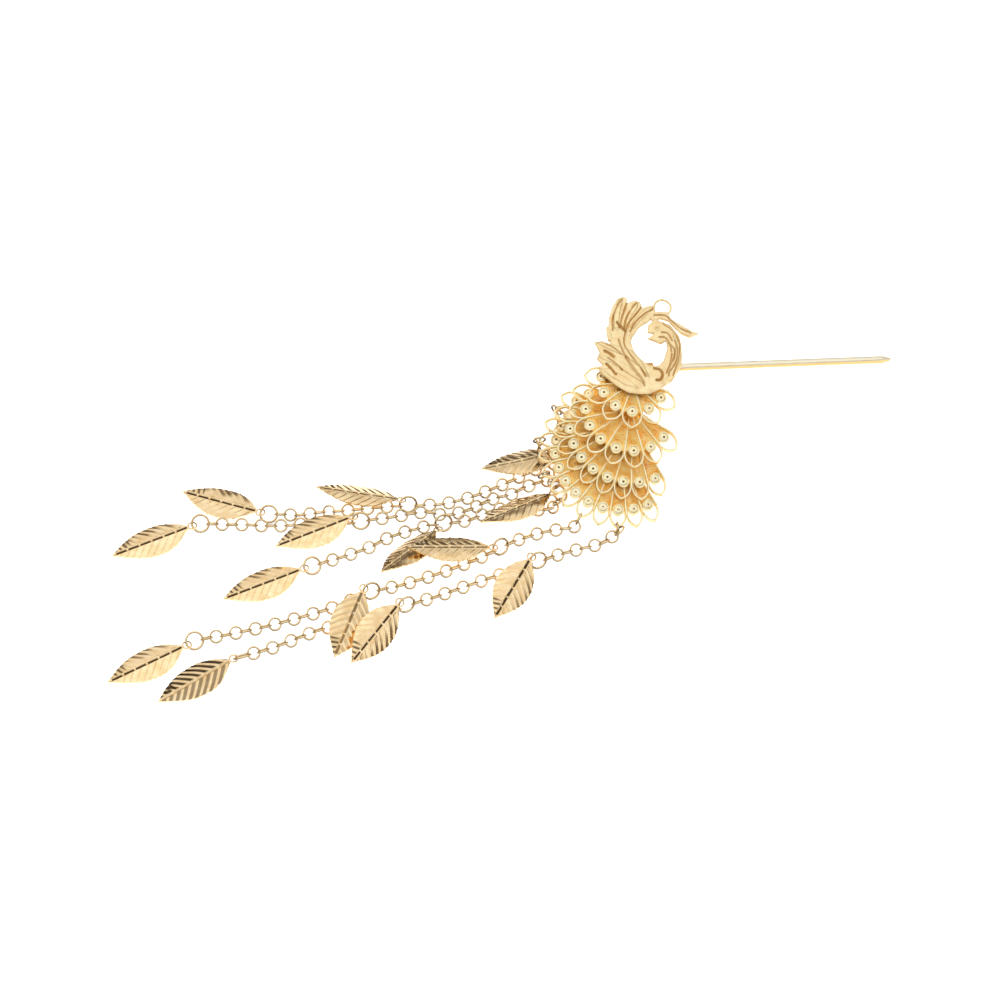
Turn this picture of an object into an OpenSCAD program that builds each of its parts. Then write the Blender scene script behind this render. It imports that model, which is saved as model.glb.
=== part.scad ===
// Buyao hairpin lying on a table: a long pin, a stamped bird, a tail of four
// pierced fans and five chains with leaf drops. Units are millimetres, +Z is up
// and the table is z = 0. The pin points to +X and the chains run to -X.

/* [Hair pin] */
// Diameter of the pin's wire
pin_d = 2; // [1.6:0.1:2.2]
// Length of the pin from its root in the socket to its tip
pin_length = 78; // [60:1:110]
// Length of the pointed end
pin_point = 3; // [2:0.5:5]
// Compass direction of the pin on the table
pin_heading = 18; // [8:1:24]
// Length of the pin's thinner root, hidden behind the bird
pin_root_l = 15; // [12:1:18]
// Gap all round the pin's root in its socket
pin_fit = 0.05; // [0.04:0.01:0.1]

/* [Head] */
// Angle by which the head is raised off the table
head_tilt = 15; // [12:1:20]
// Angle by which the head is turned to its right
head_turn = 8; // [5:1:10]
// Thickness of the stamped tail sheets
sheet = 0.5; // [0.4:0.05:0.6]
// Radius of the dome that the tail sheets are pressed to
dome_r = 60; // [55:1:80]
// Distance from one tail sheet to the next at the rivets
tier_step = 2.8; // [2.7:0.1:3.4]
// Gap between the table and the lowest part of the tail
tail_clear = 0.5; // [0.4:0.05:0.8]

/* [Tail feathers] */
// Distance from a tail sheet's centre to the eyes of its outermost feathers
tail_r = 16.5; // [15:0.5:18]
// Width of one feather at its eye
feather_w = 4.75; // [4.5:0.05:4.9]
// Distance from an eye's centre to the pointed end of its feather
feather_reach = 4.6; // [4.3:0.1:5]
// Diameter of the round eye on each feather
eye_d = 2.9; // [2.5:0.1:3]
// Diameter of the hole in each eye
eye_hole_d = 0.9; // [0.6:0.1:1.2]
// Width of the bands that edge each feather
band = 0.45; // [0.35:0.05:0.5]
// Radius of the round end that takes the rivet
hub_r = 2.2; // [2.1:0.1:2.4]
// Diameter of the rivets through the tail sheets
rivet_d = 1; // [0.8:0.1:1.2]
// Gap between a rivet and the sheet that it holds
rivet_fit = 0.1; // [0.08:0.01:0.15]

/* [Bird] */
// Height of the bird from its body to its wing tips
bird_h = 29.6; // [28:0.2:31]
// Thickness of the bird's plate
bird_sheet = 0.7; // [0.5:0.1:1]
// Height of the raised feathers on the plate
bird_relief = 0.3; // [0.2:0.05:0.4]
// Gap between the bird's back and the front tail sheet
bird_gap = 0.9; // [0.8:0.1:1.5]
// Thickness of the curl of wire over the bird's head
curl_wire = 0.6; // [0.5:0.05:0.8]

/* [Chains] */
// Outer diameter of a chain link
link_d = 3.6; // [3.4:0.05:3.8]
// Thickness of a chain link's wire
link_wire = 0.42; // [0.36:0.02:0.44]
// Play between two links when the chain is stretched
link_play = 0.18; // [0.16:0.01:0.22]
// Outer diameter of the jump rings that hold the leaves
ring_d = 5; // [4.8:0.1:5.2]
// Thickness of the jump rings' wire
ring_wire = 0.54; // [0.5:0.02:0.58]
// Play between a jump ring and the links on it
ring_play = 0.22; // [0.2:0.01:0.3]
// Angle by which the links lean from lying flat
link_lean = 45; // [43:1:47]

/* [Leaves] */
// Length of a leaf from the hole in its tab to its tip
leaf_length = 22.8; // [22:0.1:23.4]
// Width of a leaf
leaf_w = 9.7; // [9:0.1:10]
// Thickness of a leaf's sheet
leaf_sheet = 0.45; // [0.35:0.05:0.5]
// Radius to which a leaf is curled from side to side
leaf_curl_r = 16; // [15:1:24]
// Height of the raised ribs
rib_h = 0.15; // [0.1:0.05:0.2]
// Width of the middle rib at the stem
rib_w = 0.7; // [0.5:0.1:0.9]
// Diameter of the hole in a leaf's tab
tab_hole_d = 1.8; // [1.75:0.05:1.85]
// Diameter of a leaf's tab
tab_d = 2.7; // [2.6:0.1:2.8]

/* [Hidden] */
$fn = 48;
CHAINS = 5;
LEAVES = 3;
function name_of(word, c, n) = str(word, "_", c + 1, "_", n + 1);

// The four tail sheets from the front one to the back one. Lengths are shares
// of tail_r. The axis is the compass angle of the middle feather in the head's plane.
FEATHERS = 0;
EYES_AT = 1;
AXIS = 2;
RIGHT = 3;
UP = 4;
WIDTH = 5;
TIERS = [
    // feathers, eyes at, axis, right, up, width as a share of feather_w
    [6, 0.51, -108, 0.20, 1.01, 1],
    [8, 0.70, -120, 0.17, 0.60, 1],
    [10, 0.95, -136, 0.20, 0.40, 0.92],
    [12, 1.00, -140, 0.04, 0.04, 0.87]
];
LAST = len(TIERS) - 1;
function eyes_r(t) = TIERS[t][EYES_AT] * tail_r;
function tier_up(t) = TIERS[t][UP] * tail_r;
function tier_right(t) = TIERS[t][RIGHT] * tail_r;
function tier_level(t) = (LAST - t) * tier_step;
function pitch(t) = TIERS[t][WIDTH] * feather_w / eyes_r(t) * 180 / PI;
function feather_angle(t, f) = TIERS[t][AXIS] + ((TIERS[t][FEATHERS] - 1) / 2 - f) * pitch(t);
function sag(r) = dome_r - sqrt(dome_r * dome_r - r * r);

// The head's own axes: x to the right in its plane, y up in its plane and z out of its front.
function turned(p) = [
    p.x * cos(head_turn) + p.z * sin(head_turn),
    p.y,
    p.z * cos(head_turn) - p.x * sin(head_turn)
];
function raised(p) = [
    p.x,
    p.y * cos(head_tilt) - p.z * sin(head_tilt),
    p.y * sin(head_tilt) + p.z * cos(head_tilt)
];
function head_turned(p) = raised(turned(p));
function tip_r() = tail_r + feather_reach;
function tier_spot(t, r, angle) = [
    tier_right(t) + r * cos(angle),
    tier_up(t) + r * sin(angle),
    tier_level(t) - sag(r) - sheet / 2
];
function lowest_of(points) = min([for (p = points) head_turned(p).z]);
back_tips = [for (f = [0:TIERS[LAST][FEATHERS] - 1]) tier_spot(LAST, tip_r(), feather_angle(LAST, f))];
// Shift of the head and of the chains' routes that puts the middle of the whole over the origin
centre = [-2.8, 1.4, 0];
head_at = centre + [30.7, 14.8, tail_clear + sheet / 2 - lowest_of(back_tips)];
function on_head(p) = head_at + head_turned(p);
module as_head() translate(head_at) rotate([head_tilt, 0, 0]) rotate([0, head_turn, 0]) children();

// Tail sheets
function polar(r, a) = [r * cos(a), r * sin(a)];
function feather_point(t, f, across, out) =
    let (a = feather_angle(t, f))
    [out * cos(a) + across * sin(a), out * sin(a) - across * cos(a)];
function mix(a, b, s) = a + (b - a) * s;
function bow(a, b, c, s) = mix(mix(a, b, s), mix(b, c, s), s);
BOW_STEPS = 4;
valley = eye_d / 2;
function half_w(t, r) = r * sin(pitch(t) / 2);
function valley_r(t) = eyes_r(t) + valley;
// One side of a feather's pointed end, from the valley beside it to its tip.
function arch(t, side, inset) =
    let (r = valley_r(t))
    let (foot = [side * (half_w(t, r) - inset), r * cos(pitch(t) / 2)])
    let (tip = [0, eyes_r(t) + feather_reach - inset * 1.4])
    let (pull = [foot.x, mix(foot.y, tip.y, 0.72)])
    [for (s = [0:BOW_STEPS]) bow(foot, pull, tip, s / BOW_STEPS)];
function backwards(list) = [for (i = [len(list) - 1:-1:0]) list[i]];
function tier_outline(t) =
    let (n = TIERS[t][FEATHERS])
    let (half = n * pitch(t) / 2)
    let (first = TIERS[t][AXIS] + half)
    let (ends = [for (f = [0:n - 1]) let (left = arch(t, -1, 0), right = backwards(arch(t, 1, 0)))
        for (p = concat([for (i = [0:BOW_STEPS]) left[i]], [for (i = [1:BOW_STEPS - 1]) right[i]]))
            feather_point(t, f, p.x, p.y)])
    let (last_foot = arch(t, 1, 0)[0])
    let (hub = [for (i = [0:8]) polar(hub_r, first - 2 * half - 20 - i * (320 - 2 * half) / 8)])
    concat(ends, [feather_point(t, n - 1, last_foot.x, last_foot.y)], hub);
function crescent(t, f) =
    let (side = half_w(t, eyes_r(t)) - band)
    let (eye = eyes_r(t))
    let (left = arch(t, -1, band), right = arch(t, 1, band))
    let (rim = concat(
        [[-side, eye]], left, backwards([for (i = [0:BOW_STEPS - 1]) right[i]]), [[side, eye]],
        [for (a = [0:22.5:180]) [eye_d / 2 * cos(a), eye + eye_d / 2 * sin(a)]]))
    [for (p = rim) feather_point(t, f, p.x, p.y)];
slit_from = 0.3;
function slit(t, f) =
    let (inner = max(hub_r + 0.8, eyes_r(t) * slit_from))
    let (outer = eyes_r(t) - eye_d / 2 - band)
    let (wide = half_w(t, outer) - band * 1.5, narrow = half_w(t, inner) * 0.3)
    [for (p = [[-narrow, inner], [-wide, outer], [wide, outer], [narrow, inner]])
        feather_point(t, f, p.x, p.y)];
module tier_sheet(t) {
    n = TIERS[t][FEATHERS];
    difference() {
        polygon(tier_outline(t));
        for (f = [0:n - 1]) {
            polygon(crescent(t, f));
            polygon(slit(t, f));
            translate(polar(eyes_r(t), feather_angle(t, f))) circle(d = eye_hole_d);
        }
        translate(rivet_spot(t)) circle(d = rivet_d + 2 * rivet_fit);
    }
}
module domed(t) {
    intersection() {
        translate([0, 0, -dome_r]) difference() {
            sphere(dome_r, $fn = 96);
            sphere(dome_r - sheet, $fn = 96);
        }
        translate([0, 0, -dome_r / 4]) linear_extrude(dome_r / 2) children();
    }
}
module tail_tier(t) {
    color(t % 2 == 0 ? "gold" : "goldenrod")
        as_head() translate([tier_right(t), tier_up(t), tier_level(t)]) domed(t) tier_sheet(t);
}

// Hidden strip behind the tail sheets, with one riveted post for each sheet
strip_w = 4;
strip_t = 1.2;
strip_slope = 20;
strip_end = 0.25 * bird_h - 0.2;
strip_foot = [tier_right(LAST), tier_up(LAST), -2.7];
strip_length = (tier_up(0) - tier_up(LAST) + strip_end) / cos(strip_slope) + hub_r;
strip_swing = atan2(tier_right(0) - tier_right(LAST), tier_up(0) - tier_up(LAST));
function strip_at(up) = [
    strip_foot.x + (up - strip_foot.y) * tan(strip_swing),
    up,
    strip_foot.z + (up - strip_foot.y) * tan(strip_slope)
];
function rivet_spot(t) = [strip_at(tier_up(t)).x - tier_right(t), 0];
post_d = rivet_d + 0.8;
head_d = rivet_d + 0.8;
head_t = 0.35;
socket_up = tier_up(0) + 4.9;
root_d = pin_d - 0.7;
socket_at = [strip_at(socket_up).x, socket_up, strip_at(socket_up).z + strip_t / 2 + pin_d / 2 + 0.1];
socket_d = pin_d + 1;
socket_l = 5;
pin_root = on_head(socket_at);
shoulder = pin_length - pin_point;
pin_dip = asin((pin_root.z - pin_d / 6) / pin_length);
module as_pin() translate(pin_root) rotate([0, 0, pin_heading]) rotate([0, 90 + pin_dip, 0]) children();
module rivet(t) {
    spot = strip_at(tier_up(t));
    under = tier_level(t) - sheet - rivet_fit;
    translate([spot.x, spot.y, spot.z]) cylinder(d = post_d, h = under - spot.z);
    translate([spot.x, spot.y, under - 0.1]) cylinder(d = rivet_d, h = sheet + 2 * rivet_fit + 0.2);
    translate([spot.x, spot.y, tier_level(t) + rivet_fit]) cylinder(d = head_d, h = head_t);
}
module tail_carrier() {
    color("darkgoldenrod") difference() {
        union() {
            as_head() translate(strip_foot) rotate([0, 0, -strip_swing]) rotate([strip_slope, 0, 0])
                translate([-strip_w / 2, -hub_r, -strip_t / 2]) cube([strip_w, strip_length, strip_t]);
            as_head() for (t = [0:LAST]) rivet(t);
            as_head() for (s = stud_spots) bird_post(s);
            as_pin() translate([0, 0, -0.6]) cylinder(d = socket_d, h = socket_l + 0.6);
        }
        as_pin() cylinder(d = root_d + 2 * pin_fit, h = socket_l + 2);
        as_head() for (s = stud_spots) translate([s.x, s.y, bird_back - stud_l - 0.2])
            cylinder(d = stud_d + 0.2, h = stud_l + 1);
    }
}

// Hair pin
module hair_pin() {
    color("khaki") as_pin() {
        translate([0, 0, pin_fit]) cylinder(d = root_d, h = pin_root_l);
        translate([0, 0, pin_root_l]) cylinder(d = pin_d, h = shoulder - pin_root_l);
        translate([0, 0, shoulder]) cylinder(d1 = pin_d, d2 = pin_d / 3, h = pin_point);
    }
}

// Bird: flat plates cut to outlines, given in percent of bird_h from the foot of the body
bird_back = tier_level(0) + bird_gap;
bird_foot = [tier_right(0) + 0.054 * bird_h, tier_up(0) - 0.139 * bird_h];
stud_d = 1;
stud_l = 1.4;
// The two studs stand at shares of bird_h above the front sheet's centre
stud_spots = [
    strip_at(tier_up(0) + 0.122 * bird_h),
    strip_at(tier_up(0) + 0.25 * bird_h) - [0.044 * bird_h, 0, 0]
];
module bird_post(s) {
    translate([s.x, s.y, s.z - 0.2]) cylinder(d = stud_d + 1.2, h = bird_back - 0.1 - s.z + 0.2);
}
BODY = [
    [-41, 49], [-34, 51], [-27, 48.5], [-24, 53], [-25, 60], [-10, 65], [-5.5, 58], [-7.5, 52],
    [-5, 43.5], [-2.5, 39], [2.5, 34], [7.5, 30.2], [13, 28.7], [18, 30.3], [22, 35.5], [23.8, 42],
    [25.5, 48], [24.5, 55], [20, 51.5], [13.5, 54],
    [7.5, 56], [14, 61.5], [7.5, 62], [8.5, 70], [15, 75.5], [22, 74], [28.5, 71.5], [36.5, 61],
    [38.5, 52], [39, 41], [38, 30], [34, 23], [29.5, 15], [20, 7.5], [9, 1], [0, 0], [-11, 1],
    [-21, 6.5], [-30, 14], [-37, 21.5], [-33.5, 27], [-39, 32.5], [-36, 39]
];
CREST = [
    [11, 80], [17, 84], [26, 84], [29.5, 77.5], [35, 74], [41.5, 70], [48.5, 66], [54.5, 64.5],
    [46.5, 60], [39.5, 62.5], [33, 68], [27, 75], [19.5, 77], [12, 71.5]
];
LOBES = [
    [[-25, 59], [-27.6, 65.4], [-27, 76], [-24, 86], [-19.4, 94.3], [-14.2, 97], [-10.8, 95.5],
        [-10.4, 90], [-13.2, 82], [-15.5, 72], [-15, 60]],
    [[-18, 60], [-17, 72], [-14, 83], [-11.5, 89], [-8.5, 91.5], [-3, 94], [1.5, 92], [3.2, 87],
        [-2, 79], [-8, 70], [-9, 60]],
    [[-13, 60], [-11, 68], [-5, 76], [1.2, 85.5], [10.4, 89.8], [15, 88.6], [15.2, 80.5], [9, 73.4],
        [0, 66.4], [-5.5, 57]],
    [[-30, 64.5], [-25.5, 69], [-23, 60], [-24, 50], [-28.5, 51.5]]
];
PLUMES = [
    [[-39, 48], [-26, 47], [-8, 42], [2, 30], [8, 16], [0, 26], [-12, 36], [-28, 42]],
    [[-37, 34], [-28, 35], [-12, 27], [4, 10], [-8, 17], [-24, 28]],
    [[-35, 22], [-27, 22], [-14, 15], [-2, 5], [-14, 8], [-27, 16]],
    [[-22.5, 64], [-23, 80], [-18, 93], [-15, 93], [-18, 80], [-19.5, 64]],
    [[-13, 64], [-10.5, 76], [-6, 88], [-1.5, 91], [-2, 86], [-7.5, 77], [-10.5, 64]],
    [[-8, 66], [-4, 73.5], [4, 83.5], [12, 87.5], [9, 81.5], [0, 72], [-5, 65]],
    [[20, 12], [28, 24], [32, 36], [33, 52], [30, 66], [33, 60], [36, 50], [36, 34], [32, 22], [24, 12]]
];
module plate(points, low, high) {
    translate([bird_foot.x, bird_foot.y, low]) linear_extrude(high - low)
        polygon([for (p = points) p * bird_h / 100]);
}
curl_at = [22, 89];
curl_r = 0.076;
module bird() {
    front = bird_back + bird_sheet;
    color("wheat") as_head() {
        plate(BODY, bird_back, front);
        plate(CREST, bird_back, front);
        for (l = LOBES) plate(l, bird_back, front);
        for (l = PLUMES) plate(l, bird_back + bird_sheet / 2, front + bird_relief);
        translate([bird_foot.x + curl_at.x * bird_h / 100, bird_foot.y + curl_at.y * bird_h / 100, 0])
            translate([0, 0, bird_back + curl_wire / 2]) rotate([0, 0, -68]) rotate_extrude(angle = 254)
                translate([curl_r * bird_h, 0]) square(curl_wire, center = true);
        for (s = stud_spots) translate([s.x, s.y, bird_back - stud_l]) cylinder(d = stud_d, h = stud_l + 0.2);
    }
}

// Chains: each runs in three lengths, and a jump ring with a leaf ends each length
link_r = (link_d - link_wire) / 2;
ring_r = (ring_d - ring_wire) / 2;
link_step = 2 * link_r - link_wire - link_play;
ring_step = link_r + ring_r - (link_wire + ring_wire) / 2 - ring_play;
link_low = link_r * sin(link_lean) + link_wire / 2;

// Where each chain hooks into the back tail sheet: the feather from the right, how far the
// first link swings forward of its feather's end, how far it leans over sideways, and the
// lean of the link after it.
SWING = 1;
LEAN = 2;
NEXT_LEAN = 3;
HOOKS = [
    // feather, swing, lean, next lean
    [11, -130, 0, 25],
    [9, -90, -20, 60],
    [7, -130, -5, 45],
    [4, -40, -10, 45],
    [2, 50, 10, -45]
];
// Links in the three lengths of each chain, the lean of the ring at the end of each, and the points
// that the route passes, as x, y and lift off the table, chosen by hand.
COUNTS = 0;
RING_LEANS = 1;
POINTS = 2;
ROUTES = [
    [[5, 17, 13], [45, 65, 45], [
        [17.8, 23.6, 2.4], [18.8, 21.6, 0], [15.6, 19.2, 0.2], [10, 17, 0], [5, 14, 0], [0.6, 11.4, 0],
        [-8, 7, 0],
        [-16, 4.6, 0], [-24, 3.8, 0], [-32, 2.6, 1.1], [-42, 1.4, 1.1], [-47, 1.9, 0], [-53, 0.9, 0],
        [-60, 0.9, 0], [-70, 0, 0]
    ]],
    [[5, 21, 15], [20, 55, 45], [
        [11.4, 18.6, 6], [16.2, 14.2, 0], [14.6, 12.2, 0], [11.4, 11.6, 1.2], [5.6, 9.2, 0.8],
        [3, 8, 0], [-2, 6.4, 0],
        [-8.5, 2.6, 0], [-14, 0.9, 0], [-20, 0.6, 1.5], [-27, -0.8, 1.6], [-33, -2, 1.4], [-39, -2.6, 0.6],
        [-45.5, -2.2, 0], [-50, -1.9, 0], [-55, -2.6, 0], [-61, -2.8, 0], [-67, -2.4, 0], [-72, -2.4, 0],
        [-78, -2.4, 0], [-90, -2.4, 0]
    ]],
    [[3, 13, 13], [20, 60, 45], [
        [15.8, 7.4, 1], [16.2, 6.4, 0.4], [14, 3, 0.6], [14, 3.2, 0.6], [11.6, 1.6, 1.4],
        [4, 2.8, 0], [0, 3, 0], [-4, 1.4, 0],
        [-8, -0.8, 0], [-12, -2, 0], [-16, -3, 0.4], [-20, -4.5, 1.5], [-28, -7.4, 1.5], [-35.5, -10.8, 0],
        [-45, -15, 0], [-52, -18, 0], [-62, -22, 0]
    ]],
    [[9, 13, 17], [65, 65, 45], [
        [17.2, -4, 0.4], [12, -4.8, 0], [7.5, -6.4, 0], [3, -8.7, 0], [-1, -11.4, 0], [-6, -14.1, 0],
        [-15, -18.5, 0], [-24.5, -22.8, 0.6], [-34, -27, 1.6], [-43, -30.4, 0.4], [-51, -33.2, 0],
        [-59, -36, 0], [-69, -38.8, 0], [-77, -41, 0], [-88, -45, 0]
    ]],
    [[10, 13, 16], [65, 75, 45], [
        [29.4, -7.2, 0.8], [26, -9, 0], [21, -10.6, 0], [16, -12.4, 0], [11, -14.8, 0], [5, -17.2, 0],
        [-4, -21, 0],
        [-13, -25, 0], [-22, -29, 0], [-27, -31.4, 0], [-36, -34.4, 0], [-45, -37, 0], [-50, -39.2, 0],
        [-58, -43.2, 0], [-66, -46.5, 0], [-76, -50, 0]
    ]]
];

function unit(p) = p / norm(p);
SMOOTH_STEPS = 6;
function catmull(a, b, c, d, s) =
    0.5 * (2 * b + (c - a) * s + (2 * a - 5 * b + 4 * c - d) * s * s + (3 * b - a - 3 * c + d) * s * s * s);
function smooth(points) =
    let (n = len(points))
    let (p = concat([2 * points[0] - points[1]], points, [2 * points[n - 1] - points[n - 2]]))
    concat(
        [for (i = [0:n - 2]) for (k = [0:SMOOTH_STEPS - 1])
            catmull(p[i], p[i + 1], p[i + 2], p[i + 3], k / SMOOTH_STEPS)],
        [points[n - 1]]
    );
// A track turns a distance along a route into a place on it.
function track(points) =
    let (line = smooth(points))
    let (run = [for (i = 0, s = 0; i < len(line);
        s = s + (i + 1 < len(line) ? norm(line[i + 1] - line[i]) : 0), i = i + 1) s])
    [for (axis = [0:2]) [for (i = [0:len(line) - 1]) [run[i], line[i][axis]]]];
function along(road, s) = [lookup(s, road[0]), lookup(s, road[1]), lookup(s, road[2])];
function heading(road, s) = unit(along(road, s + 0.6) - along(road, max(s - 0.6, 0)));

// A loop is a link or a ring: centre, direction of the chain, normal, radius and wire.
CENTRE = 0;
RUN = 1;
NORMAL = 2;
RADIUS = 3;
WIRE = 4;
table_gap = 0.02;
function normal_at(run, lean) =
    let (side = unit([-run.y, run.x, 0]))
    cross(run, side) * cos(lean) + side * sin(lean);
function low_edge(normal, radius, wire) = radius * norm([normal.x, normal.y]) + wire / 2;
function loop_on(road, s, lean, radius, wire, raise) =
    let (run = heading(road, s), spot = along(road, s))
    let (normal = normal_at(run, lean))
    [
        [spot.x, spot.y, max(spot.z, table_gap) + low_edge(normal, radius, wire) + raise],
        run, normal, radius, wire
    ];
function hook_loop(c) =
    let (angle = feather_angle(LAST, HOOKS[c][0]), swing = HOOKS[c][SWING], lean = HOOKS[c][LEAN])
    let (out = head_turned([cos(angle), sin(angle), 0]))
    let (across = head_turned([-sin(angle), cos(angle), 0]))
    let (front = head_turned([0, 0, 1]))
    let (tip = on_head(tier_spot(LAST, tip_r() - band * 0.7, angle)))
    let (hang = out * cos(swing) + front * sin(swing))
    let (normal = across * cos(lean) + cross(hang, across) * sin(lean))
    let (reach = link_r - link_wire / 2 - band * 0.7 - sheet / 2 - link_play)
    [tip + hang * reach, hang, normal, link_r, link_wire];
function lowered(p) = [p.x, p.y, p.z - link_low];
function road_of(c) =
    let (hook = hook_loop(c))
    track(concat(
        [lowered(hook[CENTRE]), lowered(hook[CENTRE] + hook[RUN] * link_step)],
        [for (p = ROUTES[c][POINTS]) centre + p]
    ));
// Places of the three rings of a chain, counted in loops from the hook
function ring_places(c) = let (n = ROUTES[c][COUNTS]) [n[0], n[0] + n[1] + 1, n[0] + n[1] + n[2] + 2];
function loop_distance(k, places) = k * link_step
    + 2 * (ring_step - link_step) * len([for (p = places) if (k > p) p])
    + (ring_step - link_step) * len([for (p = places) if (k == p) p]);
ring_rise = (ring_r - link_r) * sin(link_lean) + (ring_wire - link_wire) / 2;
function rise_at(k, places) = ring_rise * max([for (p = places) max(0, 1 - abs(k - p) / 3)]);
function chain_loops(c) =
    let (road = road_of(c), places = ring_places(c))
    concat([hook_loop(c)], [
        for (k = [1:places[2]])
            let (s = loop_distance(k, places), ring = search(k, places))
            let (face = (k - places[0]) % 2 == 0)
            len(ring) > 0
                ? loop_on(road, s, ROUTES[c][RING_LEANS][ring[0]] - (face ? 0 : 90), ring_r, ring_wire, 0)
                : loop_on(road, s, k == 1 ? HOOKS[c][NEXT_LEAN] : link_lean - (face ? 0 : 90),
                    link_r, link_wire, rise_at(k, places))
    ]);
CHAIN_LOOPS = [for (c = [0:CHAINS - 1]) chain_loops(c)];
function ring_of(c, n) = CHAIN_LOOPS[c][ring_places(c)[n]];

module wire_loop(loop) {
    across = cross(loop[NORMAL], loop[RUN]);
    multmatrix([for (axis = [0:2]) [loop[RUN][axis], across[axis], loop[NORMAL][axis], loop[CENTRE][axis]]])
        rotate_extrude() translate([loop[RADIUS], 0]) circle(d = loop[WIRE], $fn = 16);
}
module chain(c) {
    color("gold") for (k = [0:len(CHAIN_LOOPS[c]) - 1])
        if (CHAIN_LOOPS[c][k][RADIUS] == link_r) wire_loop(CHAIN_LOOPS[c][k]);
}
module jump_ring(c, n) {
    color("goldenrod") wire_loop(ring_of(c, n));
}

// Leaves: where each one hangs on its ring and points, as compass angles, then its extra lift
// at the tip and its roll. Rows follow the chains, three to a chain.
HANG = 0;
POINTS_TO = 1;
TIP_LIFT = 2;
ROLL = 3;
LEAF_ROWS = [
    // hang, points to, tip lift, roll
    [[198, 195, 2, 12], [168, 172, 3, 20], [174, 158, 0, 0]],
    [[66, 10, 0, 0], [160, 208, 4, 0], [192, 206, 0, 0]],
    [[210, 212, 4, 20], [220, 230, 0, 20], [204, 204, 0, 0]],
    [[205, 185, 4, 12], [186, 252, 3.2, -20], [210, 211, 0, 0]],
    [[180, 245, 2, -20], [195, 238, 0, -30], [198, 215, 0, 0]]
];
// Outline of a leaf, as shares of its length and of half its width
LEAF_SIDE = [
    [0.05, 0.08], [0.09, 0.22], [0.16, 0.5], [0.26, 0.8], [0.38, 0.97], [0.48, 1], [0.6, 0.94],
    [0.72, 0.76], [0.83, 0.5], [0.92, 0.24], [0.97, 0.09]
];
RIBS = 5;
function leaf_outline() = concat(
    [for (p = LEAF_SIDE) [p.x * leaf_length, p.y * leaf_w / 2]],
    [[leaf_length, 0]],
    backwards([for (p = LEAF_SIDE) [p.x * leaf_length, -p.y * leaf_w / 2]])
);
function half_leaf(x) = lookup(x / leaf_length, LEAF_SIDE) * leaf_w / 2;
module ribs() {
    far = leaf_length * 0.95;
    polygon([[tab_d / 2, rib_w / 2], [far, rib_w / 4], [far, -rib_w / 4], [tab_d / 2, -rib_w / 2]]);
    for (i = [0:RIBS - 1]) {
        root = leaf_length * (0.16 + 0.13 * i);
        end = root + leaf_length * 0.15;
        out = half_leaf(end) * 0.86;
        for (side = [-1, 1])
            polygon([
                [root, 0], [end, side * out], [end + rib_w * 0.4, side * out * 0.97], [root + rib_w, 0]
            ]);
    }
}
module leaf_shape() {
    curl = leaf_curl_r;
    intersection() {
        translate([0, 0, -curl]) rotate([0, 90, 0]) difference() {
            cylinder(r = curl, h = leaf_length + 1, $fn = 96);
            translate([0, 0, -1]) cylinder(r = curl - leaf_sheet, h = leaf_length + 3, $fn = 96);
        }
        translate([0, 0, -curl / 2]) linear_extrude(curl) polygon(leaf_outline());
    }
    intersection() {
        translate([0, 0, -curl]) rotate([0, 90, 0]) difference() {
            cylinder(r = curl + rib_h, h = leaf_length + 1, $fn = 96);
            translate([0, 0, -1]) cylinder(r = curl - leaf_sheet / 2, h = leaf_length + 3, $fn = 96);
        }
        translate([0, 0, -curl / 2]) linear_extrude(curl) ribs();
    }
    translate([0, 0, -leaf_sheet - 0.02]) difference() {
        cylinder(d = tab_d, h = leaf_sheet, $fn = 48);
        translate([0, 0, -1]) cylinder(d = tab_hole_d, h = leaf_sheet + 2, $fn = 48);
    }
}
leaf_sag = leaf_curl_r - sqrt(leaf_curl_r * leaf_curl_r - leaf_w * leaf_w / 4);
module leaf(c, n) {
    row = LEAF_ROWS[c][n];
    ring = ring_of(c, n);
    way = [cos(row[HANG]), sin(row[HANG]), 0];
    up = -(way * ring[NORMAL]) / ring[NORMAL].z;
    hole = ring[CENTRE] + unit([way.x, way.y, up]) * ring[RADIUS];
    rest = leaf_sag + leaf_sheet + leaf_w / 2 * sin(abs(row[ROLL])) + 0.05;
    tip_z = max(0.6, 2 * rest - hole.z) + row[TIP_LIFT];
    dip = asin((hole.z - tip_z) / leaf_length);
    color("palegoldenrod") translate(hole) rotate([0, 0, row[POINTS_TO]]) rotate([0, dip, 0])
        rotate([row[ROLL], 0, 0]) translate([0, 0, leaf_sheet / 2]) leaf_shape();
}

hair_pin();
bird();
tail_carrier();
for (t = [0:LAST]) tail_tier(t);
for (c = [0:CHAINS - 1]) {
    chain(c);
    for (n = [0:LEAVES - 1]) {
        jump_ring(c, n);
        leaf(c, n);
    }
}
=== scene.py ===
import math

import bmesh
import bpy
import numpy as np
from mathutils import Matrix, Vector


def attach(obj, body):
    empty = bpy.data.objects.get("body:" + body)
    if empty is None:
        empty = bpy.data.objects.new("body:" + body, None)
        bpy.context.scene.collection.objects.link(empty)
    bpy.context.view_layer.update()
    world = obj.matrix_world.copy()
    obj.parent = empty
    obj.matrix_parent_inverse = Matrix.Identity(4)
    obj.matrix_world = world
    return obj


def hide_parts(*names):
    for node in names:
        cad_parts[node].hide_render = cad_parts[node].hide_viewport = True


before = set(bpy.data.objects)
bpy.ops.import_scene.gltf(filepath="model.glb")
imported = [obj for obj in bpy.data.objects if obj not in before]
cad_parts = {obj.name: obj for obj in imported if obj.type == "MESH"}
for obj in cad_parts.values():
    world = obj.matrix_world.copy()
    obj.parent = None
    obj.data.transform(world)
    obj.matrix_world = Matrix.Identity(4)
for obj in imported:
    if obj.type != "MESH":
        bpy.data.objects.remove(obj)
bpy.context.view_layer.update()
scene = bpy.context.scene
MM = 0.001


# ---- Writing finishes and trees as plain calls

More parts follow.
